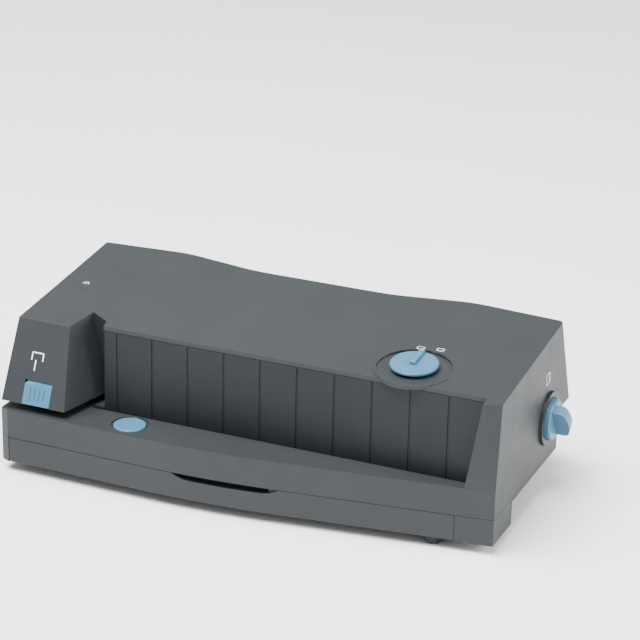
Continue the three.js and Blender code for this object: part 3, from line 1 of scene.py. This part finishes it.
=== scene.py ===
"""Looks for the electric paper punch and stapler: detailed shells and controls around the CAD frame."""

import json
import math

import bmesh
import bpy
from mathutils import Matrix, Vector


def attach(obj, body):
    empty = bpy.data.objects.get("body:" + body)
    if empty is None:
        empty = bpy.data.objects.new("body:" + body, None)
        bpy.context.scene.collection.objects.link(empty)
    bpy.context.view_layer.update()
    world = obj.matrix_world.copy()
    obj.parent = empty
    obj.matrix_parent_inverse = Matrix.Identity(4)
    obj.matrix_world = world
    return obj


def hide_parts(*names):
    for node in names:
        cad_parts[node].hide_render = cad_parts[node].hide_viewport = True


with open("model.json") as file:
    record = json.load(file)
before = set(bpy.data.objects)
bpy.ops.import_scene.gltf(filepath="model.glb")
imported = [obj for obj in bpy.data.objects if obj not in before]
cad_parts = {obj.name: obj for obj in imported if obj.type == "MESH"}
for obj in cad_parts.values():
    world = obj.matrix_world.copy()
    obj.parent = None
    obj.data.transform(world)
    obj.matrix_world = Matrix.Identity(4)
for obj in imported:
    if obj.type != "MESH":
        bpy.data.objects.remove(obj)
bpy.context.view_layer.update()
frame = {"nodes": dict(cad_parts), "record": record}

NODES = frame["nodes"]
BODY_OF = {node: body for body, nodes in frame["record"]["behaviour"]["bodies"].items() for node in nodes}
SLOT_OF = {entry["node"]: entry["material_slot"] for entry in frame["record"]["subparts"]}

MM = 0.001

# ---- rounded shells ----

WELD_DISTANCE = 2e-6
FLAT_ANGLE = math.radians(0.6)  # faces that turn by less than this are one face
FOLD_ANGLE = math.radians(28)  # edges that turn by more than this are rounded
EDGE_SEGMENTS = 3
SOFT_RADIUS = 2.4  # millimetres
SOFT_SEGMENTS = 5
BROAD_FACE = 0.001  # square metres; a face broader than this is shaded flat

# ---- stapler head, in the part's frame ----

HEAD_RIGHT = -0.150
HEAD_BACK = -0.050
HEAD_UNDERSIDE = 0.0665
HEAD_RIM = 0.130
HEAD_LONG_EDGE = 0.040
HEAD_RIM_EDGE = HEAD_LONG_EDGE / 2

# ---- finger scoop of the chip tray ----

SCOOP_X = (-0.0645, 0.0285)
SCOOP_STEPS = 16
SCOOP_FRONT_Y = -0.11974
SCOOP_BEND_X = -0.0795
SCOOP_BEND_LENGTH = 0.1108
SCOOP_BEND_RISE = 0.00767
SCOOP_SLOPE = [(3.2, 26.4), (6.5, 27.6), (11.0, 30.4)]  # depth behind the front and height, millimetres
SCOOP_TOP = (13.0, 32.3)
SCOOP_THICKNESS = 0.8
SCOOP_END_LIFT = 2.5

# ---- printed symbols ----

TOP_SLOPE = 0.1016  # rise of the top per unit of depth
HEAD_FACE_SLOPE = 0.426  # run of the head's front towards the back per unit of height
HEAD_FACE_RIGHT = (1, -0.0175, 0)
INK_DEPTH = 0.05  # millimetres
INK_HEIGHT = 0.05
BOLD_STROKE = 1.1
MARGIN_STROKE = 0.6
FINE_STROKE = 0.5
HEAD_SYMBOL = (-0.2090, -0.0950, 0.1091)
TWO_HOLE_SYMBOL = (0.1180, -0.0109, 0.1425)
THREE_HOLE_SYMBOL = (0.1350, -0.0081, 0.1428)
LAMP_SYMBOL = (-0.2105, -0.0034, 0.1433)
MARGIN_SYMBOL = (0.2165, 0.0453, 0.1114)

# ---- light ----

WORLD_STRENGTH = 0.75
TOP_POWER = 300
RIGHT_POWER = 100
FLOOR_SIZE = 20.0
FLOOR_DROP = 0.0002  # metres below the feet

# ---- camera ----

CAMERA_AZIMUTH = math.radians(22.792)
CAMERA_ELEVATION = math.radians(21.916)
CAMERA_ROLL = math.radians(1.293)
CAMERA_DISTANCE = 2.0812
CAMERA_AIM = Vector((0.0192, -0.0001, 0.1468))
CAMERA_LENS = 133.893
SENSOR_WIDTH = 36.0


def make_camera():
    data = bpy.data.cameras.new("camera")
    data.lens = CAMERA_LENS
    data.sensor_width = SENSOR_WIDTH
    data.clip_start, data.clip_end = 0.05, 50
    camera = bpy.data.objects.new("camera", data)
    bpy.context.scene.collection.objects.link(camera)
    cos_e, sin_e = math.cos(CAMERA_ELEVATION), math.sin(CAMERA_ELEVATION)
    cos_a, sin_a = math.cos(CAMERA_AZIMUTH), math.sin(CAMERA_AZIMUTH)
    ahead = Vector((-sin_a * cos_e, cos_a * cos_e, -sin_e))
    level_right = Vector((cos_a, sin_a, 0))
    level_up = level_right.cross(ahead)
    right = level_right * math.cos(CAMERA_ROLL) + level_up * math.sin(CAMERA_ROLL)
    up = level_up * math.cos(CAMERA_ROLL) - level_right * math.sin(CAMERA_ROLL)
    turn = Matrix((right, up, -ahead)).transposed()
    camera.matrix_world = Matrix.Translation(CAMERA_AIM - ahead * CAMERA_DISTANCE) @ turn.to_4x4()
    bpy.context.scene.camera = camera


# ---- materials ----


def new_material(name):
    material = bpy.data.materials.new(name)
    material.use_nodes = True
    tree = material.node_tree
    return material, tree, tree.nodes["Principled BSDF"]


def link(tree, source, target):
    tree.links.new(source, target)


def noise(tree, scale, detail=2.0, roughness=0.5):
    """A noise texture in the object's own metres, scale in features per metre."""
    place = tree.nodes.new("ShaderNodeTexCoord")
    texture = tree.nodes.new("ShaderNodeTexNoise")
    texture.inputs["Scale"].default_value = scale
    texture.inputs["Detail"].default_value = detail
    texture.inputs["Roughness"].default_value = roughness
    link(tree, place.outputs["Object"], texture.inputs["Vector"])
    return texture


def ramp(tree, source, low, high, dark, light):
    """A colour ramp from dark to light as the source goes from low to high."""
    node = tree.nodes.new("ShaderNodeValToRGB")
    node.color_ramp.elements[0].position = low
    node.color_ramp.elements[1].position = high
    node.color_ramp.elements[0].color = (*dark, 1)
    node.color_ramp.elements[1].color = (*light, 1)
    link(tree, source, node.inputs["Fac"])
    return node


def value_range(tree, source, low, high):
    node = tree.nodes.new("ShaderNodeMapRange")
    node.inputs["To Min"].default_value = low
    node.inputs["To Max"].default_value = high
    link(tree, source, node.inputs["Value"])
    return node.outputs["Result"]


def shade(colour, factor):
    return tuple(min(1.0, channel * factor) for channel in colour)


def moulded_plastic(name, colour, roughness, grain=2600.0, depth=0.00003, variation=0.06, shine=0.5):
    """Spark-eroded moulded plastic: an even fine grain, slightly uneven gloss and colour."""
    material, tree, shader = new_material(name)
    cloud = noise(tree, 14.0, detail=4.0)
    dark, light = shade(colour, 1 - variation), shade(colour, 1 + variation)
    tint = ramp(tree, cloud.outputs["Fac"], 0.3, 0.7, dark, light)
    link(tree, tint.outputs["Color"], shader.inputs["Base Color"])
    shader.inputs["Specular IOR Level"].default_value = shine
    smear = noise(tree, 45.0, detail=5.0, roughness=0.6)
    gloss = value_range(tree, smear.outputs["Fac"], roughness - 0.06, roughness + 0.06)
    link(tree, gloss, shader.inputs["Roughness"])
    grains = noise(tree, grain, detail=2.0, roughness=0.7)
    bump = tree.nodes.new("ShaderNodeBump")
    bump.inputs["Strength"].default_value = 0.55
    bump.inputs["Distance"].default_value = depth
    link(tree, grains.outputs["Fac"], bump.inputs["Height"])
    link(tree, bump.outputs["Normal"], shader.inputs["Normal"])
    return material


def brushed_metal(name, colour, roughness, stretch=(1.0, 1.0, 40.0)):
    """Metal with fine lines along one direction and faint tarnish."""
    material, tree, shader = new_material(name)
    shader.inputs["Metallic"].default_value = 1.0
    place = tree.nodes.new("ShaderNodeTexCoord")
    scaling = tree.nodes.new("ShaderNodeMapping")
    scaling.inputs["Scale"].default_value = stretch
    link(tree, place.outputs["Object"], scaling.inputs["Vector"])
    lines = tree.nodes.new("ShaderNodeTexNoise")
    lines.inputs["Scale"].default_value = 120.0
    lines.inputs["Detail"].default_value = 3.0
    link(tree, scaling.outputs["Vector"], lines.inputs["Vector"])
    cloud = noise(tree, 60.0, detail=4.0)
    tint = ramp(tree, cloud.outputs["Fac"], 0.3, 0.7, shade(colour, 0.82), shade(colour, 1.08))
    link(tree, tint.outputs["Color"], shader.inputs["Base Color"])
    gloss = value_range(tree, lines.outputs["Fac"], roughness - 0.1, roughness + 0.14)
    link(tree, gloss, shader.inputs["Roughness"])
    bump = tree.nodes.new("ShaderNodeBump")
    bump.inputs["Strength"].default_value = 0.25
    bump.inputs["Distance"].default_value = 0.00002
    link(tree, lines.outputs["Fac"], bump.inputs["Height"])
    link(tree, bump.outputs["Normal"], shader.inputs["Normal"])
    return material


def rubber(name, colour):
    """Matt rubber with pale dust."""
    material, tree, shader = new_material(name)
    dust = noise(tree, 90.0, detail=6.0, roughness=0.65)
    tint = ramp(tree, dust.outputs["Fac"], 0.35, 0.75, colour, shade(colour, 2.4))
    link(tree, tint.outputs["Color"], shader.inputs["Base Color"])
    link(tree, value_range(tree, dust.outputs["Fac"], 0.7, 0.95), shader.inputs["Roughness"])
    return material


def smoked_lens(name, colour):
    """A dark, glossy lamp lens."""
    material, tree, shader = new_material(name)
    cloud = noise(tree, 400.0)
    tint = ramp(tree, cloud.outputs["Fac"], 0.3, 0.7, shade(colour, 0.8), shade(colour, 1.3))
    link(tree, tint.outputs["Color"], shader.inputs["Base Color"])
    link(tree, value_range(tree, cloud.outputs["Fac"], 0.08, 0.16), shader.inputs["Roughness"])
    shader.inputs["Coat Weight"].default_value = 0.6
    return material


def pad_ink(name, colour):
    """Pad-printed ink: slightly uneven cover."""
    material, tree, shader = new_material(name)
    cover = noise(tree, 900.0, detail=3.0)
    tint = ramp(tree, cover.outputs["Fac"], 0.25, 0.6, shade(colour, 0.86), colour)
    link(tree, tint.outputs["Color"], shader.inputs["Base Color"])
    link(tree, value_range(tree, cover.outputs["Fac"], 0.4, 0.55), shader.inputs["Roughness"])
    return material


MATERIALS = {
    "housing_plastic": moulded_plastic("housing_plastic", (0.0195, 0.0225, 0.0250), 0.5, shine=0.28),
    # throat_plastic is the housing plastic made darker: painted shade for the shaded throat wall, not a
    # different plastic
    "throat_plastic": moulded_plastic("throat_plastic", (0.0125, 0.0145, 0.0160), 0.55, shine=0.22),
    "blue_plastic": moulded_plastic(
        "blue_plastic", (0.040, 0.130, 0.205), 0.4, grain=3400.0, depth=0.000015, shine=0.35
    ),
    "black_plastic": moulded_plastic("black_plastic", (0.012, 0.013, 0.014), 0.5),
    "acetal": moulded_plastic("acetal", (0.70, 0.68, 0.62), 0.42, depth=0.00001),
    "rubber": rubber("rubber", (0.011, 0.011, 0.012)),
    "steel": brushed_metal("steel", (0.50, 0.51, 0.52), 0.33),
    "zinc_steel": brushed_metal("zinc_steel", (0.58, 0.59, 0.57), 0.46, stretch=(30.0, 1.0, 1.0)),
    "bronze": brushed_metal("bronze", (0.55, 0.38, 0.18), 0.42),
    "circuit_board": moulded_plastic("circuit_board", (0.03, 0.13, 0.05), 0.35, grain=900.0),
    "lamp": smoked_lens("lamp", (0.02, 0.022, 0.024)),
}
INK = pad_ink("symbol_ink", (0.78, 0.80, 0.80))


def set_material(piece, material):
    piece.data.materials.clear()
    piece.data.materials.append(material)


# ---- mesh helpers ----


def add_piece(name, mesh, body):
    piece = bpy.data.objects.new(name, mesh)
    bpy.context.scene.collection.objects.link(piece)
    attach(piece, body)
    return piece


def tidy_solid(node):
    """A bmesh of a CAD node with its flat faces joined into whole polygons."""
    bm = bmesh.new()
    bm.from_mesh(NODES[node].data)
    bmesh.ops.remove_doubles(bm, verts=bm.verts, dist=WELD_DISTANCE)
    bmesh.ops.dissolve_limit(
        bm, angle_limit=FLAT_ANGLE, verts=bm.verts, edges=bm.edges, use_dissolve_boundaries=False
    )
    return bm


def folded(edge):
    return len(edge.link_faces) == 2 and edge.calc_face_angle(0) > FOLD_ANGLE


def round_edges(bm, edges, radius, segments):
    if edges:
        bmesh.ops.bevel(
            bm,
            geom=edges,
            offset=radius * MM,
            offset_type="OFFSET",
            segments=segments,
            profile=0.5,
            affect="EDGES",
            clamp_overlap=True,
        )


def refine(node, radius, soft=None):
    """A piece that stands for a CAD node, with its edges rounded; edges that soft() picks get more."""
    bm = tidy_solid(node)
    if soft:
        round_edges(bm, [e for e in bm.edges if folded(e) and soft(e)], SOFT_RADIUS, SOFT_SEGMENTS)
    round_edges(bm, [e for e in bm.edges if folded(e)], radius, EDGE_SEGMENTS)
    for face in bm.faces:
        face.smooth = face.calc_area() < BROAD_FACE
    mesh = bpy.data.meshes.new(node + "_shell")
    bm.to_mesh(mesh)
    bm.free()
    piece = add_piece(node + "_shell", mesh, BODY_OF[node])
    normals = piece.modifiers.new("normals", "WEIGHTED_NORMAL")
    normals.keep_sharp = True
    normals.weight = 100
    set_material(piece, MATERIALS[SLOT_OF[node]])
    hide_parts(node)


def on_head(edge):
    """The long edges of the stapler head's front, and the rim of its top."""
    middle = (edge.verts[0].co + edge.verts[1].co) / 2
    inside = middle.x < HEAD_RIGHT and middle.y < HEAD_BACK and middle.z > HEAD_UNDERSIDE
    return inside and edge.calc_length() > (HEAD_LONG_EDGE if middle.z < HEAD_RIM else HEAD_RIM_EDGE)


# ---- finger scoop ----


def scoop_liner():
    """The sloping floor behind the chip tray's finger scoop, from its lip up and back."""
    bm = bmesh.new()
    rows = []
    for i in range(SCOOP_STEPS + 1):
        x = SCOOP_X[0] + (SCOOP_X[1] - SCOOP_X[0]) * i / SCOOP_STEPS
        bend = (x - SCOOP_BEND_X) / SCOOP_BEND_LENGTH
        front = SCOOP_FRONT_Y + SCOOP_BEND_RISE * bend * bend
        side = abs(2 * i / SCOOP_STEPS - 1)
        lift = SCOOP_END_LIFT * side**4
        profile = [(y, z + lift) for y, z in SCOOP_SLOPE] + [SCOOP_TOP]
        upper = [bm.verts.new((x, front + y * MM, z * MM)) for y, z in profile]
        lower = [bm.verts.new((x, front + y * MM, (z - SCOOP_THICKNESS) * MM)) for y, z in profile]
        rows.append(upper + lower[::-1])
    for near, far in zip(rows, rows[1:]):
        for i in range(len(near)):
            j = (i + 1) % len(near)
            bm.faces.new([near[i], near[j], far[j], far[i]])
    bm.faces.new(rows[0][::-1])
    bm.faces.new(rows[-1])
    bmesh.ops.recalc_face_normals(bm, faces=bm.faces)
    mesh = bpy.data.meshes.new("scoop_liner")
    bm.to_mesh(mesh)
    bm.free()
    piece = add_piece("scoop_liner", mesh, "chip_tray")
    set_material(piece, MATERIALS["housing_plastic"])


# ---- printed symbols ----


def stroke(bm, start, end, width, frame_of):
    """One slightly raised bar of ink from start to end, in the symbol's own plane."""
    along = (Vector(end) - Vector(start)).normalized()
    across = Vector((-along.y, along.x)) * width / 2
    corners = [Vector(start) - across, Vector(end) - across, Vector(end) + across, Vector(start) + across]
    low = [bm.verts.new(frame_of(c, -INK_DEPTH)) for c in corners]
    high = [bm.verts.new(frame_of(c, INK_HEIGHT)) for c in corners]
    bm.faces.new(high)
    bm.faces.new(low[::-1])
    for i in range(4):
        j = (i + 1) % 4
        bm.faces.new([low[i], low[j], high[j], high[i]])


def symbol(name, strokes, origin, right, up, width):
    """A printed symbol on the housing: strokes are pairs of points in millimetres from its origin."""
    right, up = Vector(right).normalized(), Vector(up).normalized()
    up = (up - right * up.dot(right)).normalized()
    normal = right.cross(up)
    place = Vector(origin)

    def frame_of(point, height):
        return place + (right * point[0] + up * point[1] + normal * height) * MM

    bm = bmesh.new()
    for start, end in strokes:
        stroke(bm, start, end, width, frame_of)
    mesh = bpy.data.meshes.new(name)
    bm.to_mesh(mesh)
    bm.free()
    piece = add_piece(name, mesh, "housing")
    set_material(piece, INK)


def outline(points, close=True):
    """The strokes that join the points in turn, and the last to the first if it closes."""
    ends = points[1:] + (points[:1] if close else [])
    return list(zip(points, ends))


def print_symbols():
    """A staple, two sheets with their holes, a chip drawer and a margin arrow, each at its control."""
    head_up = (0, HEAD_FACE_SLOPE, 1)
    staple = outline([(-5.5, -7.0), (-5.5, 0.0), (5.5, 0.0), (5.5, -7.0)], close=False)
    arrow = [((-1.2, -6.5), (-1.2, -16.0)), ((-2.0, -9.5), (-0.4, -9.5)), ((-1.9, -11.5), (-0.5, -11.5))]
    symbol("staple_symbol", staple + arrow, HEAD_SYMBOL, HEAD_FACE_RIGHT, head_up, BOLD_STROKE)
    top_up = (0, 1, TOP_SLOPE)
    sheet = outline([(-3.0, -2.2), (3.0, -2.2), (3.0, 2.2), (-3.0, 2.2)])
    two_holes = [((-1.5, -1.1), (-1.1, -1.1)), ((1.1, -1.1), (1.5, -1.1))]
    three_holes = two_holes + [((-0.2, -1.1), (0.2, -1.1))]
    symbol("two_hole_symbol", sheet + two_holes, TWO_HOLE_SYMBOL, (1, 0, 0), top_up, FINE_STROKE)
    symbol("three_hole_symbol", sheet + three_holes, THREE_HOLE_SYMBOL, (1, 0, 0), top_up, FINE_STROKE)
    hood = [(-2.6, -1.8), (-2.6, 1.0), (-1.0, 2.2), (1.0, 2.2), (2.6, 1.0), (2.6, -1.8)]
    drop = [((0, 1.0), (0, -1.8)), ((-0.9, -0.9), (0, -1.8)), ((0.9, -0.9), (0, -1.8))]
    lamp = outline(hood, close=False) + drop
    symbol("lamp_symbol", lamp, LAMP_SYMBOL, (1, 0, 0), top_up, FINE_STROKE)
    margin = outline([(-6.0, -5.0), (1.0, -5.0), (1.0, 5.0), (-6.0, 5.0)])
    arrows = [((3.0, -4.5), (3.0, 4.5)), ((1.8, 2.9), (3.0, 4.5)), ((4.2, 2.9), (3.0, 4.5))]
    arrows += [((1.8, -2.9), (3.0, -4.5)), ((4.2, -2.9), (3.0, -4.5))]
    symbol("margin_symbol", margin + arrows, MARGIN_SYMBOL, (0, 1, 0), (0, 0, 1), MARGIN_STROKE)


# ---- studio ----


def make_floor():
    bm = bmesh.new()
    bmesh.ops.create_grid(bm, x_segments=1, y_segments=1, size=FLOOR_SIZE)
    mesh = bpy.data.meshes.new("floor")
    bm.to_mesh(mesh)
    bm.free()
    floor = bpy.data.objects.new("floor", mesh)
    bpy.context.scene.collection.objects.link(floor)
    floor.location.z = -FLOOR_DROP
    material, tree, shader = new_material("floor")
    cloud = noise(tree, 3.0)
    tint = ramp(tree, cloud.outputs["Fac"], 0.3, 0.7, (0.86, 0.86, 0.86), (0.88, 0.88, 0.88))
    link(tree, tint.outputs["Color"], shader.inputs["Base Color"])
    shader.inputs["Roughness"].default_value = 0.9
    set_material(floor, material)


def area_light(name, place, aim, size, power):
    data = bpy.data.lights.new(name, "AREA")
    data.shape = "RECTANGLE"
    data.size, data.size_y = size
    data.energy = power
    lamp = bpy.data.objects.new(name, data)
    bpy.context.scene.collection.objects.link(lamp)
    lamp.location = place
    lamp.rotation_euler = (Vector(aim) - Vector(place)).to_track_quat("-Z", "Y").to_euler()


def make_studio():
    world = bpy.data.worlds.new("studio")
    world.use_nodes = True
    background = world.node_tree.nodes["Background"]
    background.inputs["Color"].default_value = (1.0, 1.0, 1.0, 1)
    background.inputs["Strength"].default_value = WORLD_STRENGTH
    bpy.context.scene.world = world
    area_light("top_softbox", place=(-0.5, -0.7, 2.6), aim=(0, 0, 0), size=(2.4, 1.8), power=TOP_POWER)
    area_light("right_softbox", place=(2.6, 0.2, 1.2), aim=(0, 0, 0.08), size=(1.8, 1.6), power=RIGHT_POWER)


# ---- assembly ----

make_camera()
make_studio()
make_floor()

for name, node in NODES.items():
    set_material(node, MATERIALS[SLOT_OF[name]])

refine("upper_housing", 1.1, soft=on_head)
refine("base_pan", 0.6)
refine("chip_tray", 0.6)
refine("throat_back_panel", 0.3)
refine("side_knob_bezel", 0.3)
refine("selector_dial", 0.4)
refine("side_knob", 0.8)
refine("punch_button", 0.4)
refine("release_tab", 0.35)
refine("power_inlet", 0.5)
refine("power_switch", 0.5)
for foot in ("foot_front_left", "foot_front_right", "foot_rear_left", "foot_rear_right"):
    refine(foot, 0.7)

scoop_liner()
print_symbols()
